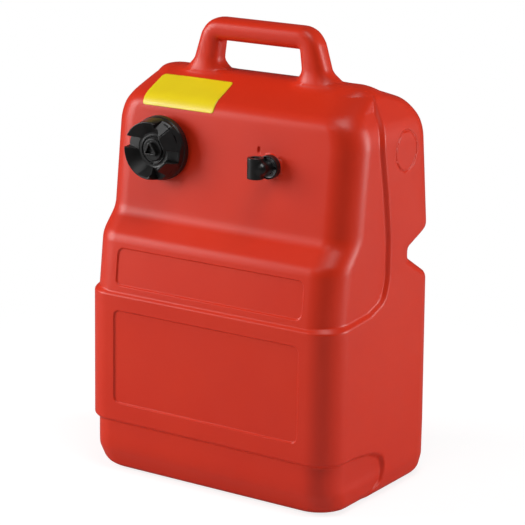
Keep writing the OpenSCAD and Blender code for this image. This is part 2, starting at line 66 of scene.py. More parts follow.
# the foot, and upwards from it the ledge, the leaning face and the channel across the back
FOOT_HALF_D, FOOT_HALF_W, FOOT_RISE, HEEL_Z = 88.0, 132.0, 3.0, 30.0
LEDGE_LOW, LEDGE_HIGH, LEDGE_BACK = 274.0, 299.0, 23.0
BROW_Z, FACE_LEAN = 428.0, 14.0
CHANNEL_Z, CHANNEL_H, CHANNEL_DEPTH, CHANNEL_FLARE = 268.5, 14.5, 43.0, 16.0
SILL_Y = FRONT_Y + 7
FACE_Y = SILL_Y + LEDGE_BACK
LOWER_LIP_Y, UPPER_LIP_Y = BACK_Y - 4.7, BACK_Y - 6.7
FLOOR_Y = LOWER_LIP_Y - CHANNEL_DEPTH

# the two sunk panels, the ring on the flank and the mark beside the outlet
PANEL_HALF_W, PANEL_SINK, PANEL_R, PANEL_MARGIN = 122.0, 1.6, 7.0, 18.0
UPPER_PANEL_LOW, UPPER_PANEL_H = 220.0, 42.0
RING_Y, RING_Z, RING_R, RING_SINK = 31.5, 386.0, 22.0, 1.1
MARK_X, MARK_Z, MARK_HALF_W, MARK_HALF_H, MARK_R, MARK_SINK = 40.8, 387.6, 1.6, 3.8, 1.4, 1.6

# the handle: its route, its grip, and the power of the superellipse that is its section
HANDLE_RISE, GRIP_HALF, LEG_SPREAD = 58.0, 62.8, 11.5
GRIP_H, GRIP_D, HANDLE_Y, ROUNDNESS = 24.0, 30.0, -2.7, 2.6
GRIP_Z = SHOULDER_Z + HANDLE_RISE - GRIP_H / 2
ROOT_Z = SHOULDER_Z - 20

# the label's middle, size and thickness
LABEL_X, LABEL_Z = -69.5, 433.0
LABEL_HALF_W, LABEL_HALF_H, LABEL_R, LABEL_T = 47.3, 13.9, 3.0, 0.38


def corner_y(node, side):
    """The front (side 0) or back (side 1) of a CAD node, in millimetres."""
    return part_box(node)[side].y / MM


# the neck, from its rim at NECK_Y into the shell, and its thread
FILLER_X, FILLER_Z = -83.0, 376.0
NECK_BORE, NECK_D, BORE_END_Y, NECK_END_Y = 42.0, 52.0, -58.0, -50.0
NECK_Y = corner_y("cap_gasket", 1)
THREAD_DEPTH, THREAD_CREST = 1.4, 25.9
THREAD_START, THREAD_TURNS, THREAD_PITCH, THREAD_HALF_W = 9.5, 1.4, 6, 1.5

# the cap, from its foot at CAP_Y outwards: its height, its plate, and its radius by height
CAP_Y = corner_y("cap_shell", 1)
CAP_H, PLATE_S, SKIRT_BORE = 27.0, 16.0, 61.6
CAP_OUTLINE = ((0, 6.5, 8, CAP_H), (36.0, 35.7, 34.6, 32.0))
PLATE_R, RIM_R, RIM_WIDTH, PLATE_RING_R = 19.0, 31.2, 2.0, 15.2
GROOVE_S, GROOVE_R = 7.4, 35.0
VENT_BORE_R, VENT_SEAT_R, VENT_SEAT_DEPTH = 4.1, 6.3, 1.9
VALVE_HOLE_R, VALVE_OFFSET = 1.7, 14.5
# each flat on the crown is (angle, distance from the axis at the rim)
CROWN_FLATS = ((28, 21.5), (92, 33.0), (133, 33.0), (214, 33.2), (260, 32.0), (312, 24.0))
FREE_R = 40.0  # beyond the cap on every side
# each notch is (angle, its two sides, how fast its floor falls outwards, where it meets the plate)
CROWN_NOTCHES = (
    (58, -4.0, 9.0, 1.15, 30.0),
    (166, -6.5, 6.5, 0.15, 22.0),
    (-9, -6.5, 6.5, 0.18, 22.0),
    (-72, -6.0, 6.0, 0.18, 22.0),
)
# where the notches begin, and where the slit along one side of each begins, with its size
NOTCH_START, SLIT_START, SLIT_DEPTH, SLIT_HALF_W = 17.0, 22.0, 1.2, 0.6

# the vent screw: its gap over the cap's plate, its triangular grip, its disc and its stem
VENT_GAP = 0.3
GRIP_ANGLES = (-85, 35, 155)
GRIP_OUTSIDE, GRIP_INSIDE, GRIP_R, GRIP_TOP = 5.8, 3.3, 8.8, 7.4
DISC_R, DISC_T, VENT_STEM_R, VENT_STEM_END = 12.3, 2.0, 4.0, -7.6

# the outlet: its boss, its cup, and the threaded tail and barb inside the tank
OUTLET_X, OUTLET_Z, BOSS_D, BOSS_END_Y = 58.0, 372.5, 27.0, -60.0
BOSS_Y, CUP_Y = corner_y("outlet_gasket", 1), corner_y("outlet_gasket", 0)
CUP_R, CUP_BORE_R, CUP_H, CUP_FLOOR = 13.0, 11.5, 6.2, 1.7
TAIL_R, STEM_BORE_R, BARB_R, BARB_PITCH, BARB_L = 9.0, 6.05, 4.35, 4, 12
TAIL_Y = corner_y("outlet_base", 1) - BARB_L
PASSAGE_R = 2.5

# the elbow: its hub on the cup's axis, its arm, its upright barrel, and its stem in the cup
HUB_R, ARM_R, FLANGE_R, STEM_R, SEAL_SEAT_R = 7.0, 6.5, 9.0, 6.0, 4.4
BARREL_X, BARREL_Y = OUTLET_X - 8, corner_y("outlet_elbow", 0) + 9
BARREL_R, BARREL_HALF_H, PORT_R, PORT_FLOOR = 9.2, 11.5, 5.6, 2.5


# ---- outlines ---------------------------------------------------------------------------------


def rounded(corners, steps=10):
    """An open outline through corners (a, b, radius), with every corner rounded by an arc."""
    points = []
    for i, (a, b, radius) in enumerate(corners):
        q = np.array([a, b])
        if i in (0, len(corners) - 1) or radius == 0:
            points.append(q)
            continue
        before, after = (np.array(corners[k][:2], float) - q for k in (i - 1, i + 1))
        u, v = before / np.linalg.norm(before), after / np.linalg.norm(after)
        half = math.acos(float(u @ v)) / 2
        limit = 0.49 * min(np.linalg.norm(before), np.linalg.norm(after))
        reach = min(radius / math.tan(half), limit)
        centre = q + (u + v) / np.linalg.norm(u + v) * reach / math.cos(half)
        start = math.atan2(*(q + u * reach - centre)[::-1])
        end = math.atan2(*(q + v * reach - centre)[::-1])
        turn = (end - start + math.pi) % (2 * math.pi) - math.pi
        r = reach * math.tan(half)
        for t in np.linspace(0, 1, steps + 1):
            angle = start + turn * t
            points.append(centre + r * np.array([math.cos(angle), math.sin(angle)]))
    return np.array(points)


# each profile is a list of (height, distance from the middle, radius)
FRONT_LINE = rounded([
    (0, -FOOT_HALF_D, 0),
    (FOOT_RISE, FRONT_Y + 15, 22),
    (HEEL_Z, FRONT_Y, 30),
    (BELT_HIGH + 4, FRONT_Y, 30),
    (LEDGE_LOW, SILL_Y, 22),
    (LEDGE_HIGH, FACE_Y, 24),
    (BROW_Z, FACE_Y + FACE_LEAN, 22),
    (SHOULDER_Z - 2, -RIDGE_HALF - 3, 14),
    (SHOULDER_Z, -RIDGE_HALF + 4, 0),
])
BACK_LINE = rounded([
    (0, FOOT_HALF_D - 8, 0),
    (FOOT_RISE / 2, BACK_Y - 3, 16),
    (HEEL_Z - 8, BACK_Y, 20),
    (HEEL_Z + 35, BACK_Y, 60),
    (CHANNEL_Z - CHANNEL_H / 2 - 1.55 * CHANNEL_FLARE, LOWER_LIP_Y, 10),
    (CHANNEL_Z - CHANNEL_H / 2, FLOOR_Y, 8),
    (CHANNEL_Z + CHANNEL_H / 2, FLOOR_Y, 7),
    (CHANNEL_Z + CHANNEL_H / 2 + CHANNEL_FLARE, UPPER_LIP_Y, 8),
    (BROW_Z + 4, BACK_Y - 25, 34),
    (SHOULDER_Z - 1, RIDGE_HALF + 6, 14),
    (SHOULDER_Z, RIDGE_HALF - 3, 0),
])
SIDE_LINE = rounded([
    (0, FOOT_HALF_W, 0),
    (FOOT_RISE / 2, HALF_W - 4.5, 16),
    (HEEL_Z - 6, HALF_W, 24),
    (SHOULDER_Z - 47.5, HALF_W, SHOULDER_R),
    (SHOULDER_Z - TOP_CROWN, HALF_W - SHOULDER_IN, 28),
    (SHOULDER_Z, HALF_W - SHOULDER_IN - 42, 0),
], 14)
# the outline, as (height, y, radius), of the belt and the back half that stand proud of the flanks
STEP_LINE = rounded([
    (-20, -60, 0),
    (8, -18, 10),
    (19, -1, 14),
    (32, 4.5, 20),
    (47, 0, 14),
    (56, -24, 10),
    (BELT_LOW - 2, -62, 30),
    (BELT_LOW - 2, -300, 0),
    (BELT_HIGH + 3.3, -300, 0),
    (BELT_HIGH + 3.3, -95, 40),
    (BELT_HIGH + 8, -34, 14),
    (BELT_HIGH + 18, -5, 20),
    (BELT_HIGH + 42, 2, 40),
    (LEDGE_HIGH - 6, 1.5, 60),
    (LEDGE_HIGH + 45, -6.5, 100),
    (SHOULDER_Z - 57, -18.5, 40),
    (SHOULDER_Z - 26, -8, 30),
    (SHOULDER_Z - 8, -3, 16),
    (SHOULDER_Z + 40, 2, 0),
    (SHOULDER_Z + 40, 300, 0),
    (-20, 300, 0),
    (-20, -60, 0),
], 6)
# how far the rest is set back from it, by height
RECESS_LINE = np.array([(0, 1), (34, BELT_STEP), (BROW_Z + 4, BELT_STEP), (SHOULDER_Z - 4, 0)])
# the handle's middle line, as (x, z, radius)
HANDLE_ROUTE = rounded([
    (-GRIP_HALF - LEG_SPREAD - 3, ROOT_Z, 0),
    (-GRIP_HALF, GRIP_Z, 14),
    (GRIP_HALF, GRIP_Z, 14),
    (GRIP_HALF + LEG_SPREAD + 3, ROOT_Z, 0),
], 8)


# ---- ways to make solids ----------------------------------------------------------------------


def along(line, z):
    """The distance that a profile gives at each height."""
    return np.interp(z, line[:, 0], line[:, 1])


def off_line(line, u, v):
    """The distance to a line through points."""
    best = np.full(np.broadcast(u, v).shape, 1e9)
    for (a, b), (c, d) in zip(line[:-1], line[1:], strict=True):
        length = (c - a) ** 2 + (d - b) ** 2
        if length < 1e-12:
            continue
        t = np.clip(((u - a) * (c - a) + (v - b) * (d - b)) / length, 0, 1)
        best = np.minimum(best, (u - a - t * (c - a)) ** 2 + (v - b - t * (d - b)) ** 2)
    return np.sqrt(best)


def polygon(line, u, v):
    """Signed distance to a closed outline, negative inside."""
    inside = np.zeros(np.broadcast(u, v).shape, bool)
    for (a, b), (c, d) in zip(line[:-1], line[1:], strict=True):
        if b != d:
            inside ^= ((b > v) != (d > v)) & (u < (c - a) * (v - b) / (d - b) + a)
    return np.where(inside, -1, 1) * off_line(line, u, v)


def melt(a, b, k):
    """Union of two solids with a soft fillet of about k."""
    h = np.clip(0.5 + 0.5 * (b - a) / k, 0, 1)
    return b + (a - b) * h - k * h * (1 - h)


def carve(a, b, k):
    """What two solids share, with soft edges of about k."""
    return -melt(-a, -b, k)


def cut(a, b, k):
    """The first solid without the second, with soft edges of about k."""
    return carve(a, -b, k)


def shared(*solids):
    """What solids share, with sharp edges."""
    return functools.reduce(np.maximum, solids)


def ramp(value, low, high):
    """Rises smoothly from 0 to 1 between low and high."""
    t = np.clip((value - low) / (high - low), 0, 1)
    return t * t * (3 - 2 * t)


def round_box(u, v, half_u, half_v, r):
    """Signed distance to a rectangle with rounded corners."""
    a, b = np.abs(u) - half_u + r, np.abs(v) - half_v + r
    return np.minimum(np.maximum(a, b), 0) + np.hypot(np.maximum(a, 0), np.maximum(b, 0)) - r


def rod(r, radius, along_it, low, high, soft=0.5):
    """A round bar between two places on its axis, with soft edges."""
    return carve(r - radius, np.maximum(low - along_it, along_it - high), soft)


def turned(a, b, angle):
    """How far a place lies along a direction, given in degrees, and to the left of it."""
    t = math.radians(angle)
    return a * math.cos(t) + b * math.sin(t), b * math.cos(t) - a * math.sin(t)


def thread(angle, along_it, pitch, depth):
    """The place of a screw thread's surface from its crest inwards, as 0 or less."""
    return depth * np.cos(angle - 2 * math.pi * along_it / pitch) - depth


# ---- solids of the tank -----------------------------------------------------------------------


def section(x, y, z, recess):
    """The shell's level section, with its front, back and flanks set back by the recess."""
    z = np.clip(z, 0, SHOULDER_Z)
    front = along(FRONT_LINE, z) + FRONT_SHARE * recess
    back = along(BACK_LINE, z) - BACK_SHARE * recess
    side = along(SIDE_LINE, z) - recess
    half = (back - front) / 2
    return round_box(x, y - (front + back) / 2, side, half, np.minimum(CORNER_R, half - 0.5))


def handle(x, y, z):
    """The grip bar and its legs, which widen downwards and flare where they meet the top."""
    drop = np.clip(GRIP_Z - z, 0, 60)
    flare = np.clip((SHOULDER_Z + 14 - z) / 14, 0, 1.2) ** 2
    half_h = GRIP_H / 2 + 2.5 * drop / 24 + 5 * flare
    half_d = GRIP_D / 2 + 2.5 * flare
    across, depth = off_line(HANDLE_ROUTE, x, z) / half_h, np.abs(y - HANDLE_Y) / half_d
    return ((across**ROUNDNESS + depth**ROUNDNESS) ** (1 / ROUNDNESS) - 1) * half_h


def panel(x, z, low, high):
    """1 inside a sunk panel, 0 outside."""
    d = round_box(x, z - (low + high) / 2, PANEL_HALF_W, (high - low) / 2, PANEL_R)
    return 1 - ramp(d, -0.7, 0.7)


def shell(x, y, z):
    """The outside of the moulded shell."""
    proud = section(x, y, z, 0)
    bevel = (proud + polygon(STEP_LINE[:, ::-1], y, z) + BELT_STEP / 2) / math.sqrt(2)
    body = melt(section(x, y, z, along(RECESS_LINE, z)), carve(proud, bevel, 1.1), 0.9)
    body = carve(body, z - SHOULDER_Z, 3.0)
    body = carve(body, -z, 1.0)
    body = melt(body, handle(x, y, z), 13.0)
    ring = ramp(np.abs(np.hypot(y - RING_Y, z - RING_Z) - RING_R), 0.2, 1.5)
    body = body + np.where(x > 0, RING_SINK - RING_SINK * ring, 0)
    sink = panel(x, z, BELT_LOW + PANEL_MARGIN + 3, BELT_HIGH - PANEL_MARGIN + 2)
    sink = sink + panel(x, z, UPPER_PANEL_LOW, UPPER_PANEL_LOW + UPPER_PANEL_H)
    mark = round_box(x - MARK_X, z - MARK_Z, MARK_HALF_W, MARK_HALF_H, MARK_R)
    mark = MARK_SINK - MARK_SINK * ramp(mark, -0.8, 0.4)
    return body + (PANEL_SINK * sink + mark) * np.where(y < 0, 1.0, 0.0)


def tank_solid(x, y, z):
    """The shell with its filler neck and the boss under the outlet."""
    from_filler = np.hypot(x - FILLER_X, z - FILLER_Z)
    neck = carve(from_filler - NECK_D / 2 + THREAD_DEPTH, NECK_Y - y, 0.8)
    body = melt(shell(x, y, z), np.maximum(neck, y - NECK_END_Y), 3.0)
    from_outlet = np.hypot(x - OUTLET_X, z - OUTLET_Z)
    boss = carve(from_outlet - BOSS_D / 2 + 1.2, BOSS_Y - y, 0.6)
    body = melt(body, np.maximum(boss, y - BOSS_END_Y), 0.8)
    return cut(body, np.maximum(from_filler - NECK_BORE / 2, y - BORE_END_Y), 0.8)


def hollow_solid(x, y, z):
    """The inside of the shell, at a constant wall."""
    body = section(x, y, z, along(RECESS_LINE, z))
    return carve(carve(body, z - SHOULDER_Z, 6.0), -z, 4.0) + WALL


# ---- solids of the fittings -------------------------------------------------------------------


def cap_solid(x, y, z):
    """The screw cap: a skirt, a crown with flat-faced lobes between notches, and a sunk plate.

    Here a and b run across the cap, r outwards from its axis, and s up its axis from its foot.
    """
    a, b, s = x - FILLER_X, z - FILLER_Z, CAP_Y - y
    r = np.hypot(a, b)
    body = r - np.interp(s, *CAP_OUTLINE)
    crown, hollow = r - FREE_R, r - np.interp(s, (PLATE_S, CAP_H), (PLATE_R, RIM_R))
    for angle, reach in CROWN_FLATS:
        out, _ = turned(a, b, angle)
        crown = np.maximum(crown, out - np.interp(s, (6, 8, CAP_H), (FREE_R, 34.2, reach)))
        inner = np.interp(s, (PLATE_S, CAP_H), (PLATE_R, reach - RIM_WIDTH))
        hollow = np.maximum(hollow, out - inner)
    body = carve(body, crown, 0.6)
    body = carve(body, np.maximum(-s, s - CAP_H), 1.1)
    body = cut(body, np.maximum(hollow, PLATE_S - s), 0.7)
    # the lowest floor that a notch may have over the skirt's bore
    lip = 14.4 - 3.5 * np.maximum(r - 32.2, 0)
    for angle, low, high, fall, start in CROWN_NOTCHES:
        out, side = turned(a, b, angle)
        deep = (np.maximum(PLATE_S - fall * (out - start), lip) - s) / math.hypot(1, fall)
        body = cut(body, shared(low - side, side - high, deep, NOTCH_START - out), 0.5)
        slit = np.abs(side - low - 0.5) - SLIT_HALF_W
        body = cut(body, shared(slit, deep - SLIT_DEPTH, SLIT_START - out), 0.3)
    body = cut(body, np.maximum(np.abs(s - GROOVE_S) - 0.5, GROOVE_R - r), 0.4)
    plate_ring = np.maximum(np.abs(r - PLATE_RING_R) - 0.8, np.abs(s - PLATE_S) - 1.2)
    body = melt(body, plate_ring, 0.5)
    # the skirt's bore, the vent's bore and seat, and the valve's hole
    body = cut(body, np.maximum(r - SKIRT_BORE / 2, s - PLATE_S + 3), 0.6)
    body = cut(body, r - VENT_BORE_R, 0.3)
    body = cut(body, np.maximum(r - VENT_SEAT_R, PLATE_S - VENT_SEAT_DEPTH - s), 0.3)
    return cut(body, np.hypot(a, b + VALVE_OFFSET) - VALVE_HOLE_R, 0.3)


def knob_solid(x, y, z):
    """The vent screw: a hollow triangular grip on a disc, and its stem through the cap's plate.

    Here a and b run across it, r outwards from its axis, and s up its axis from the disc's foot.
    """
    a, b, s = x - FILLER_X, z - FILLER_Z, CAP_Y - PLATE_S - VENT_GAP - y
    r = np.hypot(a, b)
    triangle = shared(*(turned(a, b, angle)[0] for angle in GRIP_ANGLES))
    body = carve(triangle - GRIP_OUTSIDE, r - GRIP_R, 0.9)
    body = carve(body, np.maximum(-s, s - GRIP_TOP), 0.7)
    body = cut(body, np.maximum(triangle - GRIP_INSIDE, 3.2 - s), 0.4)
    body = melt(body, rod(r, DISC_R, s, 0, DISC_T, 0.8), 0.5)
    stem = rod(r, VENT_STEM_R, s, VENT_STEM_END, 1)
    clip_groove = np.maximum(3.0 - r, np.abs(s + 6.0) - 0.6)
    return np.minimum(body, cut(stem, clip_groove, 0.2))


def base_solid(x, y, z):
    """The outlet's cup, its threaded tail and its barb. Here y runs into the tank."""
    r = np.hypot(x - OUTLET_X, z - OUTLET_Z)
    angle = np.arctan2(z - OUTLET_Z, x - OUTLET_X)
    tail = TAIL_R + np.where(y > CUP_Y + 4, thread(angle, y, 2.5, 0.35), 0)
    body = rod(r, tail, y, CUP_Y, TAIL_Y)
    body = melt(body, rod(r, CUP_R, y, CUP_Y - CUP_H, CUP_Y, 0.8), 0.6)
    barb = BARB_R - 0.25 * ((y - TAIL_Y) % BARB_PITCH) / BARB_PITCH
    body = melt(body, rod(r, barb, y, TAIL_Y - 2, TAIL_Y + BARB_L), 0.4)
    # the cup, the bore for the elbow's stem, and the passage through the barb
    body = cut(body, np.maximum(r - CUP_BORE_R, y - CUP_Y + CUP_FLOOR), 0.6)
    body = cut(body, np.maximum(r - STEM_BORE_R, y - TAIL_Y + 8), 0.3)
    return cut(body, r - PASSAGE_R, 0.3)


def elbow_solid(x, y, z):
    """The swivel elbow: a hub in the cup, and an arm to an upright barrel with a threaded port."""
    r = np.hypot(x - OUTLET_X, z - OUTLET_Z)
    hub_y = CUP_Y - 2.0
    body = rod(r, HUB_R, y, BARREL_Y, hub_y)
    body = np.minimum(body, np.sqrt(r**2 + (y - BARREL_Y) ** 2) - HUB_R)
    arm = np.hypot(y - BARREL_Y, z - OUTLET_Z)
    body = melt(body, rod(arm, ARM_R, x, BARREL_X, OUTLET_X), 1.0)
    off = np.hypot(x - BARREL_X, y - BARREL_Y)
    low, high = OUTLET_Z - BARREL_HALF_H, OUTLET_Z + BARREL_HALF_H
    body = melt(body, rod(off, BARREL_R, z, low, high, 1.0), 3.0)
    # the flange and the stem that turn in the cup, with the groove for the stem's seal
    body = melt(body, rod(r, FLANGE_R, y, hub_y - 1.4, hub_y, 0.3), 0.4)
    body = melt(body, rod(r, STEM_R, y, hub_y - 1, TAIL_Y - 8.3, 0.4), 0.4)
    seat = np.maximum(SEAL_SEAT_R - r, np.abs(y - (CUP_Y + TAIL_Y - 9.7) / 2) - 1)
    body = cut(body, seat, 0.2)
    angle = np.arctan2(y - BARREL_Y, x - BARREL_X)
    port = off - PORT_R - thread(angle, z, 1.8, 0.3)
    port = np.maximum(port, OUTLET_Z - PORT_FLOOR - z)
    body = cut(body, port, 0.4)
    across = shared(arm - PASSAGE_R, BARREL_X - x, x - OUTLET_X)
    inward = np.maximum(r - PASSAGE_R, BARREL_Y - y)
    return cut(body, np.minimum(across, inward), 0.3)


# ---- meshes of solids -------------------------------------------------------------------------


def spaced(low, high, coarse, bands=()):
    """Rising places from low to high, close together in each band (low, high, step)."""
    places = [low]
    while places[-1] < high:
        u = places[-1]
        gaps = [coarse]
        for start, end, step in bands:
            away = max(start - u, u - end, 0)
            gaps.append(step + 0.3 * away)
        places.append(u + min(gaps))
    return np.array(places)


def mirrored(places):
    """The same spacing on both sides of the middle."""
    return np.concatenate([-places[:0:-1], places])


CORNERS = [(i, j, k) for i in (0, 1) for j in (0, 1) for k in (0, 1)]


def net(solid, xs, ys, zs):
    """The points, faces and normals of a mesh of quads on a solid, by the surface nets method."""
    values = np.empty((len(xs), len(ys), len(zs)), np.float32)
    for i, x in enumerate(xs):
        values[i] = solid(np.full((1, 1), x), ys[:, None], zs[None, :])
    inside = values < 0
    cells = np.zeros(tuple(n - 1 for n in values.shape), np.int8)
    for corner in CORNERS:
        cells += inside[tuple(slice(c, c + n) for c, n in zip(corner, cells.shape, strict=True))]
    active = (cells > 0) & (cells < 8)
    index = np.full(cells.shape, -1, np.int64)
    index[active] = np.arange(active.sum())
    points = crossings(values, np.argwhere(active), (xs, ys, zs))
    points = settle(solid, points, 3)
    return points, quads(inside, index), slope(solid, points)


def crossings(values, cells, axes):
    """The mean of the places where the surface crosses each cell's edges."""
    place = {corner: values[tuple((cells + corner).T)] for corner in CORNERS}
    total = np.zeros((len(cells), 3))
    count = np.zeros(len(cells))
    for a in CORNERS:
        for axis in range(3):
            if a[axis]:
                continue
            b = tuple(v + (k == axis) for k, v in enumerate(a))
            crossed = (place[a] < 0) != (place[b] < 0)
            t = np.where(crossed, place[a] / np.where(crossed, place[a] - place[b], 1), 0)
            for k in range(3):
                start = axes[k][cells[:, k] + a[k]]
                end = axes[k][cells[:, k] + b[k]]
                total[:, k] += np.where(crossed, start + t * (end - start), 0)
            count += crossed
    return total / count[:, None]


def quads(inside, index):
    """A face for each edge of the grid that crosses the surface, through its four cells."""
    faces = []
    for axis in range(3):
        u, v = (axis + 1) % 3, (axis + 2) % 3
        lower = [slice(1, n - 1) for n in inside.shape]
        lower[axis] = slice(0, inside.shape[axis] - 1)
        upper = list(lower)
        upper[axis] = slice(1, inside.shape[axis])
        first, second = inside[tuple(lower)], inside[tuple(upper)]
        for leaving in (True, False):
            hit = np.argwhere((first != second) & (first == leaving))
            hit = hit + [span.start for span in lower]
            ring = []
            for du, dv in ((1, 1), (0, 1), (0, 0), (1, 0)):
                shift = np.zeros(3, int)
                shift[u], shift[v] = du, dv
                ring.append(index[tuple((hit - shift).T)])
            quad = np.stack(ring, 1)
            faces.append(quad if leaving else quad[:, ::-1])
    return np.concatenate(faces)


def rise(solid, points, h):
    """How much the solid's function rises along each axis, over 2 h around each point."""
    x, y, z = points.T
    return np.stack([
        solid(x + h, y, z) - solid(x - h, y, z),
        solid(x, y + h, z) - solid(x, y - h, z),
        solid(x, y, z + h) - solid(x, y, z - h),
    ], 1)


def slope(solid, points):
    """The unit normal of the solid at each point."""
    steep = rise(solid, points, 0.12)
    return steep / np.maximum(np.linalg.norm(steep, axis=1), 1e-9)[:, None]


def settle(solid, points, rounds):
    """Moves the points onto the solid's surface, by at most 1 mm in each round."""
    h = 0.05
    for _ in range(rounds):
        value = solid(*points.T)
        steep = rise(solid, points, h) / (2 * h)
        move = steep * (value / np.maximum((steep**2).sum(1), 0.05))[:, None]
        size = np.linalg.norm(move, axis=1)
        points = points - move * np.minimum(1, 1 / np.maximum(size, 1e-9))[:, None]
    return points


def mesh_piece(name, points, faces, normals=None):
    """A smooth mesh object from points in millimetres."""
    mesh = bpy.data.meshes.new(name)
    mesh.vertices.add(len(points))
    mesh.vertices.foreach_set("co", (points * MM).astype(np.float32).ravel())
    sides = faces.shape[1]
    mesh.loops.add(faces.size)
    mesh.loops.foreach_set("vertex_index", faces.astype(np.int32).ravel())
    mesh.polygons.add(len(faces))
    mesh.polygons.foreach_set("loop_start", np.arange(0, faces.size, sides, dtype=np.int32))
    mesh.polygons.foreach_set("use_smooth", np.ones(len(faces), bool))
    mesh.update(calc_edges=True)
    if normals is not None:
        mesh.normals_split_custom_set_from_vertices(normals)
    piece = bpy.data.objects.new(name, mesh)
    bpy.context.scene.collection.objects.link(piece)
    return piece


def trimmed(points, faces, normals, keep):
    """The mesh without the faces that keep() refuses, and without loose points."""
    faces = faces[keep(points[faces].mean(1))]
    used = np.unique(faces)
    new = np.full(len(points), -1)
    new[used] = np.arange(len(used))
    return points[used], new[faces], normals[used]


# ---- materials --------------------------------------------------------------------------------

NOISE_ENDS = (0.3, 0.7)  # nearly all of a noise texture's values lie between these


class Material:
    """A node material with a few short ways to add what a moulded surface needs."""

    def __init__(self, name, color, roughness):
        self.material = bpy.data.materials.new(name)
        self.material.use_nodes = True
        self.tree = self.material.node_tree
        self.shader = self.tree.nodes["Principled BSDF"]
        self.shader.inputs["Base Color"].default_value = (*color, 1)
        self.shader.inputs["Roughness"].default_value = roughness
        self.color, self.roughness = color, roughness
        self.place = self.node("ShaderNodeTexCoord").outputs["Object"]

    def node(self, kind, **settings):
        """A node with the given settings."""
        made = self.tree.nodes.new(kind)
        for key, value in settings.items():
            setattr(made, key, value)
        return made

    def link(self, out, into):
        self.tree.links.new(out, into)

    def noise(self, scale, detail, stretch=None):
        """Noise over the object, drawn out along an axis where the stretch is under 1."""
        made = self.node("ShaderNodeTexNoise")
        made.inputs["Scale"].default_value = scale
        made.inputs["Detail"].default_value = detail
        made.inputs["Roughness"].default_value = 0.5
        place = self.place
        if stretch:
            mapping = self.node("ShaderNodeMapping")
            mapping.inputs["Scale"].default_value = stretch
            self.link(place, mapping.inputs["Vector"])
            place = mapping.outputs["Vector"]
        self.link(place, made.inputs["Vector"])
        return made.outputs["Fac"]

    def span(self, value, low, high):
        """The value's noise, spread from low to high."""
        made = self.node("ShaderNodeMapRange")
        made.inputs["From Min"].default_value, made.inputs["From Max"].default_value = NOISE_ENDS
        made.inputs["To Min"].default_value, made.inputs["To Max"].default_value = low, high
        self.link(value, made.inputs["Value"])
        return made.outputs["Result"]

    def vary_color(self, value, other):
        """Blends the color into another by the noise."""
        mix = self.node("ShaderNodeMix", data_type="RGBA")
        self.link(self.span(value, 0, 1), mix.inputs["Factor"])
        mix.inputs["A"].default_value = (*self.color, 1)
        mix.inputs["B"].default_value = (*other, 1)
        self.link(mix.outputs["Result"], self.shader.inputs["Base Color"])

    def vary_roughness(self, value, spread):
        """Varies the roughness by the noise, up to the spread either way."""
        low, high = self.roughness - spread, self.roughness + spread
        self.link(self.span(value, low, high), self.shader.inputs["Roughness"])

    def bump(self, value, distance, strength):
        """Grain of a given height, in metres."""
        made = self.node("ShaderNodeBump")
        made.inputs["Distance"].default_value = distance
        made.inputs["Strength"].default_value = strength
        self.link(value, made.inputs["Height"])
        self.link(made.outputs["Normal"], self.shader.inputs["Normal"])

    def set(self, **values):
        """Sets inputs of the shader, with _ for each space in a name, and gives the material."""
        for key, value in values.items():
            self.shader.inputs[key.replace("_", " ")].default_value = value
        return self.material


def tank_red():
    red = Material("tank_red", (0.61, 0.027, 0.006), 0.37)
    red.vary_color(red.noise(9, 4), (0.58, 0.023, 0.006))
    red.vary_roughness(red.noise(25, 3), 0.02)
    red.bump(red.noise(700, 3), 0.00008, 0.3)
    return red.set(IOR=1.38)


def black_plastic():
    black = Material("black_plastic", (0.006, 0.0055, 0.0055), 0.33)
    black.vary_color(black.noise(150, 4), (0.009, 0.0085, 0.0085))
    black.vary_roughness(black.noise(120, 4), 0.03)
    black.bump(black.noise(1800, 3), 0.00005, 0.4)
    return black.set(IOR=1.48)


def seal_rubber():
    rubber = Material("seal_rubber", (0.018, 0.018, 0.018), 0.68)
    rubber.vary_color(rubber.noise(200, 4), (0.028, 0.027, 0.026))
    rubber.bump(rubber.noise(2500, 3), 0.00004, 0.5)
    return rubber.set(IOR=1.45)


def hose_rubber():
    hose = Material("hose_rubber", (0.022, 0.022, 0.024), 0.55)
    hose.vary_color(hose.noise(60, 4), (0.035, 0.035, 0.036))
    hose.bump(hose.noise(900, 2, (1, 1, 0.05)), 0.00005, 0.5)
    return hose.set(IOR=1.48)


def spring_steel():
    steel = Material("spring_steel", (0.60, 0.61, 0.63), 0.28)
    steel.vary_roughness(steel.noise(500, 4), 0.08)
    steel.bump(steel.noise(1500, 2, (1, 0.05, 1)), 0.00002, 0.5)
    return steel.set(Metallic=1.0)


def strainer_plastic():
    white = Material("strainer_plastic", (0.78, 0.78, 0.70), 0.45)
    white.vary_color(white.noise(80, 4), (0.70, 0.69, 0.60))
    white.bump(white.noise(1200, 3), 0.00004, 0.4)
    return white.set(IOR=1.49)


def strainer_gauze():
    gauze = Material("strainer_gauze", (0.62, 0.64, 0.60), 0.5)
    weave = gauze.node("ShaderNodeTexWave", bands_direction="Z")
    weave.inputs["Scale"].default_value = 900
    gauze.link(gauze.place, weave.inputs["Vector"])
    gauze.bump(weave.outputs["Fac"], 0.00010, 0.8)
    return gauze.set(IOR=1.5)


def label_film():
    film = Material("label_film", (0.80, 0.62, 0.005), 0.36)
    film.vary_color(film.noise(40, 3), (0.78, 0.59, 0.005))
    film.bump(film.noise(260, 2), 0.00006, 0.3)
    return film.set(IOR=1.5, Coat_Weight=0.3, Coat_Roughness=0.2)


# ---- pieces -----------------------------------------------------------------------------------


def finish_piece(piece, body, slot, material, *nodes):
    """Gives a piece its material and its body, and hides the CAD nodes that it stands for. The
    slot is not used.
    """
    piece.data.materials.clear()
    piece.data.materials.append(material)
    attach(piece, body)
    if nodes:
        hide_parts(*nodes)


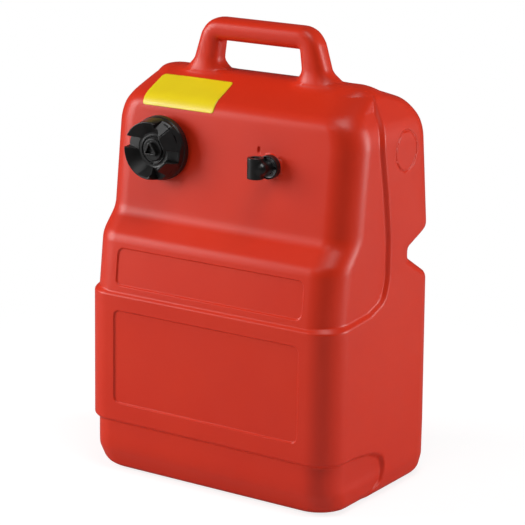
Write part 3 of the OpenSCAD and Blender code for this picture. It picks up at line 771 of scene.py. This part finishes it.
def tank_shell(material):
    """The outside of the tank, on a grid that is fine where an edge or a sunk line runs."""
    coarse = 7.5
    xs = mirrored(spaced(0, 176, coarse, [
        (28, 100, 4.5),
        (MARK_X - 1.8, MARK_X + 1.8, 0.8),
        (PANEL_HALF_W - 8, PANEL_HALF_W + 1.5, 1.0),
        (HALF_W - 12, HALF_W + 2, 1.6),
    ]))
    ys = spaced(-122, 122, coarse, [
        (FRONT_Y - 1, FRONT_Y + 9, 2.0),
        (-42, 8, 2.2),
        (RING_Y - RING_R - 1.5, RING_Y + RING_R + 1.5, 1.5),
    ])
    zs = spaced(-6, 524, coarse, [
        (-1, 14, 2.0),
        (BELT_LOW - 5, BELT_LOW + 2, 1.0),
        (BELT_LOW + 20, BELT_LOW + 29, 1.0),
        (BELT_HIGH - 24, BELT_HIGH - 14, 1.0),
        (BELT_HIGH - 2, BELT_HIGH + 5, 1.0),
        (UPPER_PANEL_LOW - 1.5, UPPER_PANEL_LOW + 8, 1.0),
        (UPPER_PANEL_LOW + UPPER_PANEL_H - 8, UPPER_PANEL_LOW + UPPER_PANEL_H + 1.5, 1.0),
        (FILLER_Z - 28, FILLER_Z + 28, 3.6),
        (RING_Z - RING_R - 1.5, RING_Z + RING_R + 1.5, 1.5),
        (SHOULDER_Z - 26, 524, 3.2),
    ])

    def outside(centres):
        """Leaves out the end of the neck's bore, which lies in the hollow."""
        return hollow_solid(*centres.T) > -1.5

    piece = mesh_piece("tank_shell", *trimmed(*net(tank_solid, xs, ys, zs), outside))
    finish_piece(piece, "tank", "tank_plastic", material, "tank_body")


def tank_inside(material):
    """The inside of the wall, open at the neck's bore."""
    xs = spaced(-166, 166, 11.0, [(FILLER_X - 24, FILLER_X + 24, 4.0)])
    ys = spaced(-116, 116, 9.0)
    zs = spaced(0, 462, 11.0, [(FILLER_Z - 24, FILLER_Z + 24, 4.0)])

    def off_the_bore(centres):
        off = np.hypot(centres[:, 0] - FILLER_X, centres[:, 2] - FILLER_Z) > NECK_BORE / 2 + 1
        return off | (centres[:, 1] > 0)

    points, faces, normals = trimmed(*net(hollow_solid, xs, ys, zs), off_the_bore)
    piece = mesh_piece("tank_inside", points, faces[:, ::-1], -normals)
    finish_piece(piece, "tank", "tank_plastic", material)


def cut_piece(name, body, solid, material, node, step):
    """A black fitting meshed inside the box of the CAD node that it replaces."""
    margin = 1.5
    low, high = (np.array(corner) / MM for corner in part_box(node))
    axes = [np.arange(a - margin, b + margin + step, step) for a, b in zip(low, high, strict=True)]
    piece = mesh_piece(name, *net(solid, *axes))
    finish_piece(piece, body, "black_plastic", material, node)


def neck_thread(material):
    """The thread on the neck: a tapered rib wound round it, which fades out at both ends."""
    steps = int(THREAD_TURNS * 72)
    t = np.linspace(0, THREAD_TURNS * 2 * math.pi, steps + 1)
    fade = np.clip(np.minimum(t, t[-1] - t) / 0.6, 0, 1)
    root = NECK_D / 2 - THREAD_DEPTH
    foot, rim = root - 0.4, root + (THREAD_CREST - root) * fade
    half = THREAD_HALF_W
    rows = []
    for side, r in ((-half, foot), (-half * 0.35, rim), (half * 0.35, rim), (half, foot)):
        y = NECK_Y + THREAD_START - THREAD_PITCH * t / (2 * math.pi) + side
        rows.append(np.stack([FILLER_X + r * np.cos(t), y, FILLER_Z + r * np.sin(t)], 1))
    points = np.stack(rows, 1).reshape(-1, 3)
    k, j = np.meshgrid(np.arange(steps), np.arange(4), indexing="ij")
    a, b = k * 4 + j, k * 4 + (j + 1) % 4
    faces = np.stack([a, b, b + 4, a + 4], -1).reshape(-1, 4)
    ends = np.array([[3, 2, 1, 0], [4 * steps, 4 * steps + 1, 4 * steps + 2, 4 * steps + 3]])
    piece = mesh_piece("neck_thread", points, np.concatenate([faces, ends]))
    finish_piece(piece, "tank", "tank_plastic", material)


def label_sheet(material):
    """The blank film, laid on the brow with rounded corners."""
    corner_rows = np.linspace(0, LABEL_R, 7)[:-1]
    v = LABEL_HALF_H - np.concatenate([corner_rows, np.linspace(LABEL_R, LABEL_HALF_H, 9)])
    v = np.concatenate([-v, v[::-1][1:]])
    in_corner = np.maximum(np.abs(v) - LABEL_HALF_H + LABEL_R, 0)
    reach = LABEL_HALF_W - LABEL_R + np.sqrt(np.maximum(LABEL_R**2 - in_corner**2, 0))
    u = np.linspace(-1, 1, 61)
    x = LABEL_X + u[None, :] * reach[:, None]
    z = LABEL_Z + np.broadcast_to(v[:, None], x.shape)
    points = np.stack([x.ravel(), along(FRONT_LINE, z.ravel()) + 3.0, z.ravel()], 1)
    points = settle(shell, points, 6)
    normals = slope(shell, points)
    layers = np.concatenate([points + 0.02 * normals, points + LABEL_T * normals])
    grid = np.arange(x.size).reshape(x.shape)
    a, b, c, d = grid[:-1, :-1], grid[1:, :-1], grid[1:, 1:], grid[:-1, 1:]
    under = np.stack([a.ravel(), b.ravel(), c.ravel(), d.ravel()], 1)
    upper = under[:, ::-1] + x.size
    rim = np.concatenate([grid[0, :-1], grid[:-1, -1], grid[-1, :0:-1], grid[:0:-1, 0]])
    after = np.roll(rim, -1)
    sides = np.stack([rim, after, after + x.size, rim + x.size], 1)
    piece = mesh_piece("label_sheet", layers, np.concatenate([under, upper, sides]))
    finish_piece(piece, "tank", "label_film", material, "label")


# ---- scene ------------------------------------------------------------------------------------

# the camera, in pixels of its square picture, and in degrees and metres around the tank
PICTURE = 525
FOCAL_PIXELS = 2216.148
MIDDLE_PIXEL = (260.207, 256.259)
CAMERA_AZIMUTH, CAMERA_ELEVATION = 33.183, 14.371
CAMERA_ROLL = 0.017  # in radians
TARGET = Vector((0, -0.0015, 0.250))
DISTANCE = 2.4832
# each lamp is (name, azimuth, elevation, size in metres, power in watts)
LAMPS = (
    ("key", -55, 17, (1.3, 1.3), 51),
    ("side", 121, 10, (0.7, 1.4), 38),
    ("top", 54, 69, (1.0, 1.0), 24),
    ("front", -2, 46, (0.8, 0.8), 5),
)
LAMP_TARGET = Vector((0, 0, 0.27))
LAMP_DISTANCE = 2.4


def outward(azimuth, elevation):
    """The direction at an azimuth from the front, towards +X, and an elevation, in degrees."""
    azimuth, elevation = math.radians(azimuth), math.radians(elevation)
    level = math.cos(elevation)
    return Vector((math.sin(azimuth) * level, -math.cos(azimuth) * level, math.sin(elevation)))


def add_camera():
    """The camera that takes the main picture."""
    lens = bpy.data.cameras.new("camera")
    lens.sensor_width = 36
    lens.lens = FOCAL_PIXELS / PICTURE * lens.sensor_width
    lens.shift_x = (PICTURE / 2 - MIDDLE_PIXEL[0]) / PICTURE
    lens.shift_y = (MIDDLE_PIXEL[1] - PICTURE / 2) / PICTURE
    lens.clip_end = 20
    camera = bpy.data.objects.new("camera", lens)
    away = outward(CAMERA_AZIMUTH, CAMERA_ELEVATION)
    turn = away.to_track_quat("Z", "Y").to_matrix() @ Matrix.Rotation(CAMERA_ROLL, 3, "Z")
    camera.matrix_world = Matrix.Translation(TARGET + away * DISTANCE) @ turn.to_4x4()
    bpy.context.scene.collection.objects.link(camera)
    bpy.context.scene.camera = camera


def add_lamp(name, azimuth, elevation, size, power):
    """A soft panel that faces the tank."""
    lamp = bpy.data.lights.new(name, "AREA")
    lamp.shape = "RECTANGLE"
    lamp.size, lamp.size_y = size
    lamp.energy = power
    item = bpy.data.objects.new(name, lamp)
    away = outward(azimuth, elevation)
    item.location = LAMP_TARGET + LAMP_DISTANCE * away
    item.rotation_euler = away.to_track_quat("Z", "Y").to_euler()
    bpy.context.scene.collection.objects.link(item)


class Shading:
    """An emptied node tree, with short ways to add shaders and to mix them by kind of ray."""

    def __init__(self, owner):
        owner.use_nodes = True
        self.nodes, self.links = owner.node_tree.nodes, owner.node_tree.links
        self.nodes.clear()
        self.rays = self.nodes.new("ShaderNodeLightPath").outputs

    def add(self, kind, **inputs):
        """A node with the given inputs set."""
        made = self.nodes.new(kind)
        for key, value in inputs.items():
            made.inputs[key].default_value = value
        return made

    def gray(self, kind, shade, **inputs):
        """A shader whose color is an even gray, 1 being white."""
        return self.add(kind, Color=(shade, shade, shade, 1), **inputs)

    def join(self, kind, *outputs):
        """A node whose inputs are linked to the outputs in their order."""
        made = self.nodes.new(kind)
        for out, into in zip(outputs, made.inputs, strict=True):
            self.links.new(out, into)
        return made

    def mix(self, factor, first, second):
        """The first shader where the factor is 0, the second where it is 1."""
        return self.join("ShaderNodeMixShader", factor, first.outputs[0], second.outputs[0])

    def finish(self, kind, shader):
        """Links the shader to an output node."""
        self.links.new(shader.outputs[0], self.nodes.new(kind).inputs["Surface"])


def add_floor():
    """A pale floor that keeps the tank's shadow and turns white to the camera further out.

    To other rays it is a plain floor, which shows dimmer in the tank's gloss.
    """
    size = 6.0
    corners = np.array([(-size, -size, 0), (size, -size, 0), (size, size, 0), (-size, size, 0)])
    floor = mesh_piece("floor", corners / MM, np.array([[0, 1, 2, 3]]))
    floor.location.z = -0.0005
    material = bpy.data.materials.new("floor")
    tree = Shading(material)
    shade = tree.gray("ShaderNodeBsdfDiffuse", 0.30)
    glow = tree.add("ShaderNodeEmission", Strength=0.80)
    near = tree.join("ShaderNodeAddShader", shade.outputs[0], glow.outputs[0])
    place = tree.nodes.new("ShaderNodeTexCoord")
    reach = tree.nodes.new("ShaderNodeVectorMath")
    reach.operation = "LENGTH"
    tree.links.new(place.outputs["Object"], reach.inputs[0])
    away = tree.nodes.new("ShaderNodeMapRange")
    away.interpolation_type = "SMOOTHSTEP"
    away.inputs["From Min"].default_value, away.inputs["From Max"].default_value = 0.25, 0.75
    tree.links.new(reach.outputs["Value"], away.inputs["Value"])
    seen = tree.mix(away.outputs["Result"], near, tree.add("ShaderNodeEmission"))
    plain = tree.gray("ShaderNodeBsdfDiffuse", 0.8)
    in_gloss = tree.gray("ShaderNodeBsdfDiffuse", 0.3)
    others = tree.mix(tree.rays["Is Glossy Ray"], plain, in_gloss)
    tree.finish("ShaderNodeOutputMaterial", tree.mix(tree.rays["Is Camera Ray"], others, seen))
    floor.data.materials.append(material)


def add_world():
    """Soft light from all round, and white where the camera sees past the floor."""
    world = bpy.data.worlds.new("world")
    bpy.context.scene.world = world
    tree = Shading(world)
    soft = tree.gray("ShaderNodeBackground", 1, Strength=0.075)
    white = tree.gray("ShaderNodeBackground", 1, Strength=1.0)
    tree.finish("ShaderNodeOutputWorld", tree.mix(tree.rays["Is Camera Ray"], soft, white))


add_camera()
add_world()
add_floor()
for lamp in LAMPS:
    add_lamp(*lamp)

red = tank_red()
black = black_plastic()
rubber = seal_rubber()
steel = spring_steel()
tank_shell(red)
tank_inside(red)
label_sheet(label_film())
cut_piece("cap_crown", "cap", cap_solid, black, "cap_shell", 0.75)
cut_piece("vent_screw", "vent", knob_solid, black, "vent_knob", 0.5)
cut_piece("outlet_cup", "tank", base_solid, black, "outlet_base", 0.6)
cut_piece("outlet_swivel", "outlet", elbow_solid, black, "outlet_elbow", 0.5)
neck_thread(red)

NODE_MATERIALS = {
    "cap_insert": black,
    "cap_gasket": rubber,
    "umbrella_valve": rubber,
    "vent_o_ring": rubber,
    "vent_clip": steel,
    "outlet_gasket": rubber,
    "outlet_nut": black,
    "elbow_o_ring": rubber,
    "elbow_clip": steel,
    "pickup_tube": hose_rubber(),
    "tube_clamp": steel,
    "strainer_cage": strainer_plastic(),
    "strainer_mesh": strainer_gauze(),
}
for node, material in NODE_MATERIALS.items():
    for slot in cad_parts[node].material_slots:
        slot.material = material

bpy.context.scene.view_settings.view_transform = "Standard"
